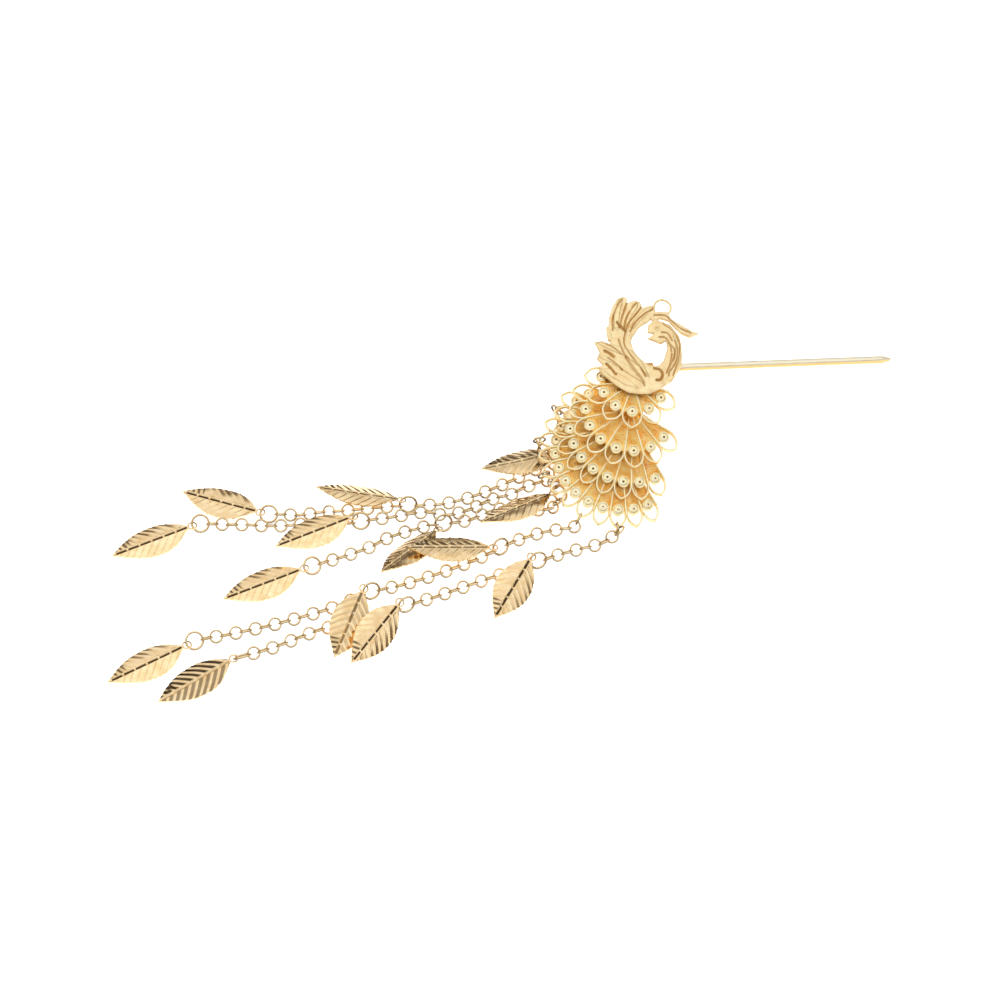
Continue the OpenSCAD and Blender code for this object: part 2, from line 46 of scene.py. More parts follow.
class Value:
    """One socket of a tree, so that a finish can be written with + and *."""

    def __init__(self, bench, socket):
        self.bench, self.socket = bench, socket

    def __add__(self, other):
        return self.bench.maths("ADD", self, other)

    def __mul__(self, other):
        return self.bench.maths("MULTIPLY", self, other)


class Bench:
    """Puts nodes into one tree."""

    def __init__(self, tree):
        self.tree = tree

    def node(self, kind, settings=None, sockets=None, out=0):
        """A node by its type, with its settings, then the values or links of its sockets."""
        n = self.tree.nodes.new(kind)
        for key, value in (settings or {}).items():
            if key == "stops":
                ramp = n.color_ramp
                while len(ramp.elements) < len(value):
                    ramp.elements.new(0.5)
                for element, (place, colour) in zip(ramp.elements, value):
                    element.position = place
                    element.color = colour
            else:
                setattr(n, key, value)
        for key, value in (sockets or {}).items():
            self.put(n.inputs[key], value)
        return Value(self, n.outputs[out])

    def put(self, socket, value):
        if isinstance(value, Value):
            self.tree.links.new(value.socket, socket)
        else:
            socket.default_value = value

    def maths(self, operation, a, b):
        return self.node("ShaderNodeMath", {"operation": operation}, {0: a, 1: b})

    def mix(self, share, a, b):
        return self.node(
            "ShaderNodeMix", {"data_type": "RGBA", "blend_type": "MIX"},
            {0: share, 6: a, 7: b}, out=2,
        )

    def spread(self, value, low, high, to_low=0.0, to_high=1.0):
        return self.node(
            "ShaderNodeMapRange", {"clamp": True},
            {0: value, 1: low, 2: high, 3: to_low, 4: to_high},
        )


def tint(red, green, blue):
    """A colour as seen on a screen, from 0 to 255."""
    def linear(c):
        c /= 255
        return c / 12.92 if c <= 0.04045 else ((c + 0.055) / 1.055) ** 2.4
    return (linear(red), linear(green), linear(blue), 1.0)


# ---- Gold finishes

BLOTCH = 2.2  # the size of the soft clouds in the tone, in millimetres
GRAIN_TURN = (0.2, 0.1, 0.5)
WORN_GOLD = tint(255, 244, 214)


def gold(name, pale, deep, rough, grain, grain_height, polish=0.0, painted_shade_tone=None):
    """Gold-coloured metal: pale and deep are its two tones, grain and grain_height are the
    size and the depth of its surface grain in millimetres, and polish turns the grain into
    long fine strokes. The last argument is the tone of painted shade, mixed in as far as the
    piece's painted-shade attribute says, all of it where that is 1."""
    material = bpy.data.materials.new(name)
    material.use_nodes = True
    bench = Bench(material.node_tree)
    shader = material.node_tree.nodes["Principled BSDF"]
    place = bench.node("ShaderNodeTexCoord", out="Object")
    stretched = bench.node(
        "ShaderNodeMapping", {"vector_type": "POINT"},
        {"Vector": place, "Rotation": GRAIN_TURN, "Scale": (1 - 0.85 * polish, 1, 1)},
    )
    clouds = bench.node(
        "ShaderNodeTexNoise", None,
        {"Vector": place, "Scale": 1 / (BLOTCH * MM), "Detail": 3.0, "Roughness": 0.55},
    )
    fine = bench.node(
        "ShaderNodeTexNoise", None,
        {"Vector": stretched, "Scale": 1 / (grain * MM), "Detail": 4.0, "Roughness": 0.62},
    )
    pits = bench.node(
        "ShaderNodeTexVoronoi", {"feature": "F1"},
        {"Vector": place, "Scale": 0.7 / (grain * MM)},
    )
    tone = bench.spread(clouds * 0.75 + fine * 0.25, 0.36, 0.66)
    colour = bench.mix(tone, deep, pale)
    worn = bench.spread(fine, 0.56, 0.72, 0.0, 0.35)
    colour = bench.mix(worn, colour, WORN_GOLD)
    # painted shade: the colour goes towards the painted-shade tone as far as the piece's attribute
    # says
    if painted_shade_tone:
        painted_shade_share = bench.node("ShaderNodeAttribute", {"attribute_name": "hollow"}, out="Fac")
        colour = bench.mix(painted_shade_share, colour, painted_shade_tone)
    bench.put(shader.inputs["Base Color"], colour)
    dull = bench.spread(clouds * 0.5 + fine * 0.5, 0.3, 0.7, rough * 0.75, rough * 1.3)
    bench.put(shader.inputs["Roughness"], dull)
    height = fine + bench.spread(pits, 0.0, 0.5, 0.0, 0.35)
    bump = bench.node(
        "ShaderNodeBump", None,
        {"Strength": 1.0, "Distance": grain_height * MM, "Height": height}, out="Normal",
    )
    bench.put(shader.inputs["Normal"], bump)
    shader.inputs["Metallic"].default_value = 1.0
    return material


# The last tone is painted shade in the bird's cuts and round its rims.
MATTED = gold(
    "matted_bird_gold", tint(255, 238, 190), tint(240, 210, 156), 0.40, 0.42, 0.085,
    painted_shade_tone=tint(190, 142, 78),
)
# The tail's gold, deeper and more orange than the other pieces' gold as painted shade on the sheet
# and barbs between the raised wires.
PIERCED = gold(
    "pierced_tail_gold", tint(255, 228, 152), tint(248, 190, 92), 0.30, 0.5, 0.030,
)
# The same gold made near white as a painted highlight on the tail's raised wires and eyes; its
# last tone is painted shade in the eyes' holes and grooves.
PAINTED_HIGHLIGHT_GOLD = gold(
    "painted_highlight_gold", tint(255, 249, 216), tint(255, 236, 182), 0.28, 0.3, 0.008,
    painted_shade_tone=tint(124, 82, 32),
)
# The last tone is painted shade on the undersides of the links and jump rings, standing in for
# dark reflections.
LINKS = gold(
    "link_wire_gold", tint(250, 230, 188), tint(224, 190, 134), 0.12, 0.4, 0.005,
    polish=0.5, painted_shade_tone=tint(60, 42, 20),
)
# The last tone is painted shade in the leaves' middle-rib cuts and nicks, and a painted dark
# reflection between the ribs of some leaves.
LEAF = gold(
    "pressed_leaf_gold", tint(254, 230, 186), tint(238, 204, 150), 0.17, 0.5, 0.006,
    polish=0.9, painted_shade_tone=tint(56, 38, 16),
)
# The last tone is painted shade along the pin's underside.
WIRE = gold(
    "drawn_pin_gold", tint(255, 251, 232), tint(254, 243, 212), 0.38, 0.5, 0.006,
    polish=1.0, painted_shade_tone=tint(226, 190, 124),
)
BACK = gold("plain_back_gold", tint(238, 198, 122), tint(212, 162, 84), 0.33, 0.4, 0.012)


# ---- Meshes

def new_piece(name, mesh, *materials):
    """An object with these finishes. Each face keeps the number of its finish."""
    slots = np.zeros(len(mesh.polygons), dtype=np.int32)
    mesh.polygons.foreach_get("material_index", slots)
    mesh.materials.clear()
    for m in materials:
        mesh.materials.append(m)
    mesh.polygons.foreach_set("material_index", slots)
    piece = bpy.data.objects.new(name, mesh)
    scene.collection.objects.link(piece)
    return piece


def smooth_all(mesh, sharp=None):
    """Smooth shading, with edges steeper than sharp degrees kept as they are."""
    mesh.polygons.foreach_set("use_smooth", [True] * len(mesh.polygons))
    if sharp is not None:
        mesh.set_sharp_from_angle(angle=math.radians(sharp))
    mesh.update()


def merged_copy(node):
    """The CAD node's mesh with its loose triangles joined up."""
    bm = bmesh.new()
    bm.from_mesh(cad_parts[node].data)
    bmesh.ops.remove_doubles(bm, verts=bm.verts, dist=0.002 * MM)
    mesh = bpy.data.meshes.new(node + "_copy")
    bm.to_mesh(mesh)
    bm.free()
    return mesh


def joined(name, parts):
    """One mesh from several, each with the number of its material."""
    bm = bmesh.new()
    for mesh, slot in parts:
        start = len(bm.faces)
        bm.from_mesh(mesh)
        bm.faces.ensure_lookup_table()
        for face in bm.faces[start:]:
            face.material_index = slot
    mesh = bpy.data.meshes.new(name)
    bm.to_mesh(mesh)
    bm.free()
    return mesh


def points_of(mesh):
    """The places of a mesh's vertices, one to a row."""
    co = np.empty(len(mesh.vertices) * 3)
    mesh.vertices.foreach_get("co", co)
    return co.reshape(-1, 3)


def shell_mesh(name, points, faces):
    """A mesh with its meeting points joined up and its normals facing out."""
    mesh = bpy.data.meshes.new(name)
    mesh.from_pydata([tuple(p) for p in points], [], faces)
    bm = bmesh.new()
    bm.from_mesh(mesh)
    bmesh.ops.remove_doubles(bm, verts=bm.verts, dist=0.001 * MM)
    bmesh.ops.recalc_face_normals(bm, faces=bm.faces)
    bm.to_mesh(mesh)
    bm.free()
    mesh.update()
    return mesh


def paint_shade(mesh, values):
    """Keeps, for each vertex, how far its colour is darkened as painted shade, from 0 to 1."""
    attribute = mesh.attributes.new("hollow", "FLOAT", "POINT")
    attribute.data.foreach_set("value", np.clip(values, 0, 1))


def undersides(mesh, start, full):
    """How far each vertex faces down, for painted shade: 0 where its normal rises by start, 1
    where by full.
    """
    rise = np.array([v.normal.z for v in mesh.vertices])
    return (start - rise) / (start - full)


def lathe(name, profile, sides):
    """Turns a profile of (radius, height) pairs in millimetres about the z axis. A closed
    profile makes a ring."""
    closed = profile[0] == profile[-1]
    rows = [(r * MM, z * MM) for r, z in (profile[:-1] if closed else profile)]
    points = [
        (r * math.cos(a), r * math.sin(a), z)
        for r, z in rows for a in [2 * math.pi * i / sides for i in range(sides)]
    ]
    faces = []
    for j in range(len(rows) if closed else len(rows) - 1):
        k = (j + 1) % len(rows)
        for i in range(sides):
            n = (i + 1) % sides
            faces.append((j * sides + i, j * sides + n, k * sides + n, k * sides + i))
    mesh = shell_mesh(name, points, faces)
    smooth_all(mesh)
    return mesh


# ---- Geometry node trees

def start_tree(name, inputs):
    """A new tree, its bench and its inputs by their labels."""
    tree = bpy.data.node_groups.new(name, "GeometryNodeTree")
    tree.interface.new_socket("Geometry", in_out="INPUT", socket_type="NodeSocketGeometry")
    for label, kind, value in inputs:
        socket = tree.interface.new_socket(label, in_out="INPUT", socket_type=kind)
        if value is not None:
            socket.default_value = value
    tree.interface.new_socket("Geometry", in_out="OUTPUT", socket_type="NodeSocketGeometry")
    bench = Bench(tree)
    entry = tree.nodes.new("NodeGroupInput")
    return tree, bench, {s.name: Value(bench, s) for s in entry.outputs if s.name}


def end_tree(bench, shape, material):
    """Gives the shape its finish and leads it out of the tree."""
    shape = bench.node("GeometryNodeSetShadeSmooth", None, {"Geometry": shape})
    shape = bench.node("GeometryNodeRealizeInstances", None, {"Geometry": shape})
    shape = bench.node("GeometryNodeSetMaterial", None, {"Geometry": shape, "Material": material})
    leave = bench.tree.nodes.new("NodeGroupOutput")
    bench.put(leave.inputs[0], shape)


def own_turn(bench):
    """The turn that each point carries in its own attribute."""
    turn = bench.node(
        "GeometryNodeInputNamedAttribute", {"data_type": "FLOAT_VECTOR"}, {"Name": "turn"},
    )
    return bench.node("FunctionNodeEulerToRotation", None, {0: turn})


def ring_tree():
    """Puts a round wire ring on each point, turned as the point's own turn says."""
    tree, bench, given = start_tree("wire_rings", [
        ("Ring radius", "NodeSocketFloat", 1.6 * MM),
        ("Wire radius", "NodeSocketFloat", 0.2 * MM),
        ("Steps round", "NodeSocketInt", 24),
        ("Wire sides", "NodeSocketInt", 8),
        ("Finish", "NodeSocketMaterial", None),
    ])
    circle = bench.node(
        "GeometryNodeCurvePrimitiveCircle", None,
        {"Resolution": given["Steps round"], "Radius": given["Ring radius"]},
    )
    wire = bench.node(
        "GeometryNodeCurvePrimitiveCircle", None,
        {"Resolution": given["Wire sides"], "Radius": given["Wire radius"]},
    )
    ring = bench.node("GeometryNodeCurveToMesh", None, {"Curve": circle, "Profile Curve": wire})
    rings = bench.node(
        "GeometryNodeInstanceOnPoints", None,
        {"Points": given["Geometry"], "Instance": ring, "Rotation": own_turn(bench)},
    )
    end_tree(bench, rings, given["Finish"])
    return tree


def wire_tree():
    """Draws every line of edges as a round wire, as thick as each point's own gauge says."""
    tree, bench, given = start_tree("drawn_wires", [
        ("Thickness", "NodeSocketFloat", 1.0),
        ("Wire sides", "NodeSocketInt", 8),
        ("Finish", "NodeSocketMaterial", None),
    ])
    gauge = bench.node(
        "GeometryNodeInputNamedAttribute", {"data_type": "FLOAT"}, {"Name": "gauge"},
    )
    curve = bench.node("GeometryNodeMeshToCurve", None, {"Mesh": given["Geometry"]})
    wire = bench.node(
        "GeometryNodeCurvePrimitiveCircle", None,
        {"Resolution": given["Wire sides"], "Radius": 1.0},
    )
    shape = bench.node(
        "GeometryNodeCurveToMesh", None,
        {"Curve": curve, "Profile Curve": wire, "Scale": gauge * given["Thickness"],
         "Fill Caps": True},
    )
    end_tree(bench, shape, given["Finish"])
    return tree


def stamp_tree():
    """Sets a copy of one stamped shape on each point, turned as the point's own turn says."""
    tree, bench, given = start_tree("stamped_eyes", [
        ("Stamp", "NodeSocketObject", None),
        ("Size", "NodeSocketFloat", 1.0),
        ("Finish", "NodeSocketMaterial", None),
    ])
    stamp = bench.node(
        "GeometryNodeObjectInfo", None, {"Object": given["Stamp"]}, out="Geometry",
    )
    stamps = bench.node(
        "GeometryNodeInstanceOnPoints", None,
        {"Points": given["Geometry"], "Instance": stamp, "Rotation": own_turn(bench),
         "Scale": given["Size"]},
    )
    end_tree(bench, stamps, given["Finish"])
    return tree


def grown(name, mesh, tree, inputs):
    """Runs a tree on a mesh of points or lines and gives back the plain mesh."""
    holder = bpy.data.objects.new(name, mesh)
    scene.collection.objects.link(holder)
    modifier = holder.modifiers.new(name, "NODES")
    modifier.node_group = tree
    for item in tree.interface.items_tree:
        if item.in_out == "INPUT" and item.name in inputs:
            modifier[item.identifier] = inputs[item.name]
    bpy.context.view_layer.update()
    graph = bpy.context.evaluated_depsgraph_get()
    result = bpy.data.meshes.new_from_object(holder.evaluated_get(graph))
    holder.modifiers.remove(modifier)
    bpy.data.objects.remove(holder)
    return result


RINGS = ring_tree()
WIRES = wire_tree()
STAMPS = stamp_tree()


def point_mesh(name, points, turns):
    """Loose points, each with its own turn."""
    mesh = bpy.data.meshes.new(name)
    mesh.from_pydata([tuple(p) for p in points], [], [])
    attribute = mesh.attributes.new("turn", "FLOAT_VECTOR", "POINT")
    attribute.data.foreach_set("vector", np.array(turns, np.float32).ravel())
    return mesh


def line_mesh(name, lines):
    """Lines of edges, each given as a list of (point, gauge), where gauge is a radius."""
    points, edges, gauges = [], [], []
    for line in lines:
        first = len(points)
        points += [tuple(p) for p, _ in line]
        gauges += [g for _, g in line]
        edges += [(first + i, first + i + 1) for i in range(len(line) - 1)]
    mesh = bpy.data.meshes.new(name)
    mesh.from_pydata(points, edges, [])
    attribute = mesh.attributes.new("gauge", "FLOAT", "POINT")
    attribute.data.foreach_set("value", np.array(gauges, np.float32))
    return mesh


# ---- The head's own axes. Lengths are in millimetres and turns in degrees

HEAD_TILT = 15
HEAD_TURN = 8
HEAD_X, HEAD_Y = 27.9, 16.2
TAIL_CLEAR = 0.5
SHEET = 0.5
DOME_R = 60
TIER_STEP = 2.8
TAIL_R = 16.5
FEATHER_W = 4.75
FEATHER_REACH = 4.6
EYE_D = 2.9
BAND = 0.45
HUB_R = 2.2
TIERS = [
    # feathers, eyes at, axis, right, up, width
    (6, 0.51, -108, 0.20, 1.01, 1),
    (8, 0.70, -120, 0.17, 0.60, 1),
    (10, 0.95, -136, 0.20, 0.40, 0.92),
    (12, 1.00, -140, 0.04, 0.04, 0.87),
]
ARCH_PULL = 0.72  # how far up a feather's end its sides swell
TURNED = (
    Matrix.Rotation(math.radians(HEAD_TILT), 4, "X")
    @ Matrix.Rotation(math.radians(HEAD_TURN), 4, "Y")
)


def sag(r):
    """How far the domed sheets have dropped at r from their centre."""
    return DOME_R - math.sqrt(DOME_R * DOME_R - r * r)


class Tier:
    """The measures of one sheet of feathers, in millimetres."""

    def __init__(self, number):
        self.number = number
        self.feathers, share, self.axis, right, up, self.width = TIERS[number]
        self.eyes = share * TAIL_R
        self.right, self.up = right * TAIL_R, up * TAIL_R
        self.level = (len(TIERS) - 1 - number) * TIER_STEP
        self.pitch = self.width * FEATHER_W / self.eyes
        self.valley = self.eyes + EYE_D / 2

    def angle(self, f):
        return math.radians(self.axis) + ((self.feathers - 1) / 2 - f) * self.pitch

    def spot(self, angle, out, across=0.0, lift=0.0):
        """A place on the sheet: out from its centre, across to the feather's side and
        lifted off the sheet's middle."""
        x = out * math.cos(angle) + across * math.sin(angle)
        y = out * math.sin(angle) - across * math.cos(angle)
        return Vector((self.right + x, self.up + y, self.level - sag(math.hypot(x, y)) + lift))

    def arch(self, side, inset, steps=9):
        """One side of a feather's pointed end, from the valley beside it to its tip."""
        half = self.valley * math.sin(self.pitch / 2)
        foot = Vector((side * (half - inset), self.valley * math.cos(self.pitch / 2)))
        tip = Vector((0, self.eyes + FEATHER_REACH - inset * 1.4))
        pull = Vector((foot.x, foot.y + (tip.y - foot.y) * ARCH_PULL))
        return [
            (foot.lerp(pull, s)).lerp(pull.lerp(tip, s), s)
            for s in [i / (steps - 1) for i in range(steps)]
        ]


TIER = [Tier(t) for t in range(len(TIERS))]
BACK_TIER = TIER[-1]
LOWEST = min(
    (TURNED @ (
        BACK_TIER.spot(BACK_TIER.angle(f), TAIL_R + FEATHER_REACH) - Vector((0, 0, SHEET / 2))
    )).z
    for f in range(BACK_TIER.feathers)
)
HEAD = Matrix.Translation((HEAD_X, HEAD_Y, TAIL_CLEAR + SHEET / 2 - LOWEST)) @ TURNED


def on_head(p):
    """A place in the head's axes, in millimetres, brought into the scene."""
    return (HEAD @ Vector(p)) * MM


# ---- Tail

EYE_PROFILE = [
    # radius, height over the sheet's middle
    (0.20, -0.42), (0.21, 0.30), (0.36, 0.44), (0.66, 0.48), (0.90, 0.42), (1.02, 0.30),
    (1.10, 0.30), (1.20, 0.46), (1.34, 0.52), (1.50, 0.43), (1.57, 0.20), (1.56, -0.14),
    (0.20, -0.42),
]
EYE_HOLE = 0.3
EYE_GROOVE = 1.06
SHAFT_STEPS = 8
SHAFT_LIFT = 0.2
SHAFT_R = 0.22  # at the middle of the tail, growing by SHAFT_SWELL to the rim
SHAFT_SWELL = 0.12
ARCH_LIFT = 0.16
RIB_STEPS = 6
RIB_R = 0.12
RIB_LIFT = -0.12
BARB_STEP = 0.46
BARB_RUN = 0.75  # how much further out a barb ends than it starts
BARB_R = (0.23, 0.22)
BARB_LIFT = (-0.12, -0.08)


def eye_stamp():
    """A feather's eye: a raised ring round a small domed disc with a hole."""
    return new_piece("eye_stamp", lathe("eye_stamp", EYE_PROFILE, 22))


def eye_painted_shade(co, place, turn):
    """How much painted shade the small hole and the groove of one eye take, at each of the places
    co.
    """
    local = (co - np.array(place)) @ np.array(turn.to_matrix()) / MM
    out = np.hypot(local[:, 0], local[:, 1])
    near = np.abs(local[:, 2]) < 1
    return near * ((out < EYE_HOLE) + 0.16 * np.exp(-((out - EYE_GROOVE) / 0.14) ** 2))


def tier_lines(tier):
    """The raised shafts, pointed arches, middle ribs and barbs of one sheet."""
    bright, barbs = [], []
    start = HUB_R + 0.3
    for f in range(tier.feathers + 1):
        edge = tier.angle(0) + tier.pitch / 2 - f * tier.pitch
        bright.append([
            (on_head(tier.spot(
                edge, start + (tier.valley - start) * i / SHAFT_STEPS, 0, SHAFT_LIFT,
            )), (SHAFT_R + SHAFT_SWELL * i / SHAFT_STEPS) * MM)
            for i in range(SHAFT_STEPS + 1)
        ])
    inner = max(HUB_R + 0.8, tier.eyes * 0.3)
    outer = tier.eyes - EYE_D / 2 + 0.1
    count = max(3, int((outer - inner) / BARB_STEP))
    for f in range(tier.feathers):
        angle = tier.angle(f)
        for side in (-1, 1):
            bright.append([
                (on_head(tier.spot(angle, p.y, p.x, ARCH_LIFT)), BAND * 0.6 * MM)
                for p in tier.arch(side, BAND / 2)
            ])
        barbs.append([
            (on_head(tier.spot(angle, inner + (outer - inner) * i / RIB_STEPS, 0, RIB_LIFT)),
             RIB_R * MM)
            for i in range(RIB_STEPS + 1)
        ])
        for i in range(count):
            low = inner + (outer - inner) * (i + 0.1) / count
            high = min(low + BARB_RUN, outer + 0.5)
            half = high * math.sin(tier.pitch / 2) - 0.1
            for side in (-1, 1):
                barbs.append([
                    (on_head(tier.spot(angle, low, 0, BARB_LIFT[0])), BARB_R[0] * MM),
                    (on_head(tier.spot(angle, high, side * half, BARB_LIFT[1])), BARB_R[1] * MM),
                ])
    return bright, barbs


def tail_tier(number, stamp):
    """One sheet: the CAD's own, with its raised wires, its barbs and its eyes."""
    tier = TIER[number]
    node = f"tail_tier_{number + 1}"
    sheet = merged_copy(node)
    smooth_all(sheet, sharp=35)
    bright, barbs = tier_lines(tier)
    edges = grown(
        "edges", line_mesh("edges", bright), WIRES, {"Finish": PAINTED_HIGHLIGHT_GOLD, "Wire sides": 8},
    )
    net = grown(
        "barbs", line_mesh("barbs", barbs), WIRES, {"Finish": PIERCED, "Wire sides": 6},
    )
    places, turns = [], []
    for f in range(tier.feathers):
        a = tier.angle(f)
        here = tier.spot(a, tier.eyes)
        outward = Vector(
            (here.x - tier.right, here.y - tier.up, DOME_R - sag(tier.eyes))
        ).normalized()
        places.append(on_head(here))
        turns.append((TURNED.to_3x3() @ outward).to_track_quat("Z", "Y").to_euler())
    eyes = grown(
        "eyes", point_mesh("eyes", places, turns), STAMPS, {"Stamp": stamp, "Finish": PAINTED_HIGHLIGHT_GOLD},
    )
    # the raised wires and eyes take the painted-highlight gold, the sheet and barbs the deeper
    # painted-shade gold
    mesh = joined(node + "_feathers", [(sheet, 0), (edges, 1), (net, 0), (eyes, 1)])
    co = points_of(mesh)
    # painted shade in the holes and grooves of the eyes
    paint_shade(mesh, sum(eye_painted_shade(co, *spot) for spot in zip(places, turns)))
    piece = new_piece(node + "_feathers", mesh, PIERCED, PAINTED_HIGHLIGHT_GOLD)
    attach(piece, "root")
    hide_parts(node)


# ---- Bird

BIRD_H = 29.6
BIRD_SHEET = 0.7
BIRD_BACK = TIER[0].level + 0.9
BIRD_FOOT = (TIER[0].right + 1.598, TIER[0].up - 4.114)
PLUME_RISE = 0.3
BIRD_GRAIN = 0.13  # the size of the cells that the plates are melted into
# the curl of wire over the head, in hundredths of the bird's height and degrees
CURL_AT = (22, 89)
CURL_R = 7.6
CURL_WIRE = 0.32
CURL_FROM, CURL_SWEEP, CURL_STEPS = -68, 254, 30
STUD_R = 0.5
STUD_H = 1.6
BIRD_EYE = (16, 66)
# outlines and lines in hundredths of the bird's height, from the foot of its breast
BODY = [
    (-41, 49), (-34, 51), (-27, 48.5), (-24, 53), (-25, 60), (-10, 65), (-5.5, 58), (-7.5, 52),
    (-5, 43.5), (-2.5, 39), (2.5, 34), (7.5, 30.2), (13, 28.7), (18, 30.3), (22, 35.5), (23.8, 42),
    (25.5, 48), (24.5, 55), (20, 51.5), (13.5, 54),
    (7.5, 56), (14, 61.5), (7.5, 62), (8.5, 70), (15, 75.5), (22, 74), (28.5, 71.5), (36.5, 61),
    (38.5, 52), (39, 41), (38, 30), (34, 23), (29.5, 15), (20, 7.5), (9, 1), (0, 0), (-11, 1),
    (-21, 6.5), (-30, 14), (-37, 21.5), (-33.5, 27), (-39, 32.5), (-36, 39),
]
CREST = [
    (11, 80), (17, 84), (26, 84), (29.5, 77.5), (35, 74), (41.5, 70), (48.5, 66), (54.5, 64.5),
    (46.5, 60), (39.5, 62.5), (33, 68), (27, 75), (19.5, 77), (12, 71.5),
]
LOBES = [
    [(-25, 59), (-27.6, 65.4), (-27, 76), (-24, 86), (-19.4, 94.3), (-14.2, 97), (-10.8, 95.5),
     (-10.4, 90), (-13.2, 82), (-15.5, 72), (-15, 60)],
    [(-18, 60), (-17, 72), (-14, 83), (-11.5, 89), (-8.5, 91.5), (-3, 94), (1.5, 92), (3.2, 87),
     (-2, 79), (-8, 70), (-9, 60)],
    [(-13, 60), (-11, 68), (-5, 76), (1.2, 85.5), (10.4, 89.8), (15, 88.6), (15.2, 80.5),
     (9, 73.4), (0, 66.4), (-5.5, 57)],
    [(-30, 64.5), (-25.5, 69), (-23, 60), (-24, 50), (-28.5, 51.5)],
]
PLUMES = [
    [(-39, 48), (-26, 47), (-8, 42), (2, 30), (8, 16), (0, 26), (-12, 36), (-28, 42)],
    [(-37, 34), (-28, 35), (-12, 27), (4, 10), (-8, 17), (-24, 28)],
    [(-35, 22), (-27, 22), (-14, 15), (-2, 5), (-14, 8), (-27, 16)],
    [(-22.5, 64), (-23, 80), (-18, 93), (-15, 93), (-18, 80), (-19.5, 64)],
    [(-13, 64), (-10.5, 76), (-6, 88), (-1.5, 91), (-2, 86), (-7.5, 77), (-10.5, 64)],
    [(-8, 66), (-4, 73.5), (4, 83.5), (12, 87.5), (9, 81.5), (0, 72), (-5, 65)],
    [(20, 12), (28, 24), (32, 36), (33, 52), (30, 66), (33, 60), (36, 50), (36, 34), (32, 22),
     (24, 12)],
]
GROOVES = [
    [(-12, 63), (-14, 51), (-11, 42), (-5, 33), (1, 25), (5, 17)],
    [(-19, 53), (-15, 40), (-10, 32), (-4, 23), (4, 8)],
    [(-1.5, 47), (0, 41), (4, 34), (9.5, 29)],
    [(-13, 35), (-7, 25), (0, 18), (4, 11)],
    [(-30, 47), (-24, 44), (-17, 38)],
    [(-29, 33), (-23, 29), (-16, 22)],
    [(26, 53), (31.5, 47), (31.5, 39), (27.5, 30), (26, 19)],
    [(22, 72), (30, 66), (36, 57), (36.5, 47), (34, 32), (30, 20)],
    [(14, 80), (24, 80), (30, 75), (38, 68), (47, 64)],
    [(-24, 62), (-24, 74), (-20, 86), (-15, 94)],
    [(-10.6, 92), (-12.8, 84), (-15.8, 74), (-16.5, 67), (-13, 61)],
    [(-14, 64), (-12, 74), (-7, 84), (-2, 91)],
    [(2, 86.5), (-3.2, 79), (-8.6, 71.5), (-11.5, 65), (-12.5, 60)],
    [(-8, 62), (-4, 70), (4, 79), (13, 86)],
    [(20.5, 63), (26, 62), (30, 55)],
    [(18, 58), (24, 57.5), (28, 51), (29, 44)],
    [(28, 25), (33, 34), (34.5, 45), (32.5, 55)],
    [(24, 22), (28, 33), (29.5, 42)],
]
SLOTS = [
    # the short deep cuts in the wing and the breast
    [(-31.5, 40.5), (-27.5, 38.5), (-23.5, 35.5)],
    [(-30, 27.5), (-26.5, 23.5), (-22, 17.5)],
    [(13.5, 26.3), (18.3, 25.2), (20.6, 20.5), (18.6, 15.2), (15.2, 14.6)],
    [(-20, 69.5), (-17.5, 66.5), (-13.5, 62.5)],
]


def in_plane(p):
    """A place on the bird, given in hundredths of its height, in the head's plane."""
    return (BIRD_FOOT[0] + p[0] * BIRD_H / 100, BIRD_FOOT[1] + p[1] * BIRD_H / 100)


def slab(bm, outline, low, high):
    """A closed plate cut to an outline, in millimetres."""
    turn = sum(a[0] * b[1] - b[0] * a[1] for a, b in zip(outline, outline[1:] + outline[:1]))
    if turn < 0:
        outline = outline[::-1]
    bottom = [bm.verts.new((x, y, low)) for x, y in outline]
    top = [bm.verts.new((x, y, high)) for x, y in outline]
    faces = [bm.faces.new(top), bm.faces.new(bottom[::-1])]
    n = len(outline)
    for i in range(n):
        bm.faces.new((bottom[i], bottom[(i + 1) % n], top[(i + 1) % n], top[i]))
    bmesh.ops.triangulate(bm, faces=faces)


def distance_to(lines, xy, closed=False):
    """How far each point is from the nearest of the lines."""
    best = np.full(len(xy), 1e9)
    for line in lines:
        pairs = list(zip(line, line[1:])) + ([(line[-1], line[0])] if closed else [])
        for a, b in pairs:
            a, b = np.array(a), np.array(b)
            run = b - a
            share = np.clip(((xy - a) @ run) / (run @ run), 0, 1)
            best = np.minimum(best, np.linalg.norm(xy - a - share[:, None] * run, axis=1))
    return best


def rounded(line, steps=5):
    """A smooth line through a few points."""
    p = [np.array(q, float) for q in line]
    p = [2 * p[0] - p[1]] + p + [2 * p[-1] - p[-2]]
    out = []
    for a, b, c, d in zip(p, p[1:], p[2:], p[3:]):
        for s in [i / steps for i in range(steps)]:
            out.append(0.5 * (2 * b + (c - a) * s + (2 * a - 5 * b + 4 * c - d) * s ** 2
                              + (3 * b - a - 3 * c + d) * s ** 3))
    return out + [p[-2]]


def cut_distances(xy):
    """How far each point is from the nearest engraved line, and from the nearest slot."""
    return [
        distance_to([rounded([in_plane(p) for p in line]) for line in lines], xy)
        for lines in (GROOVES, SLOTS)
    ]


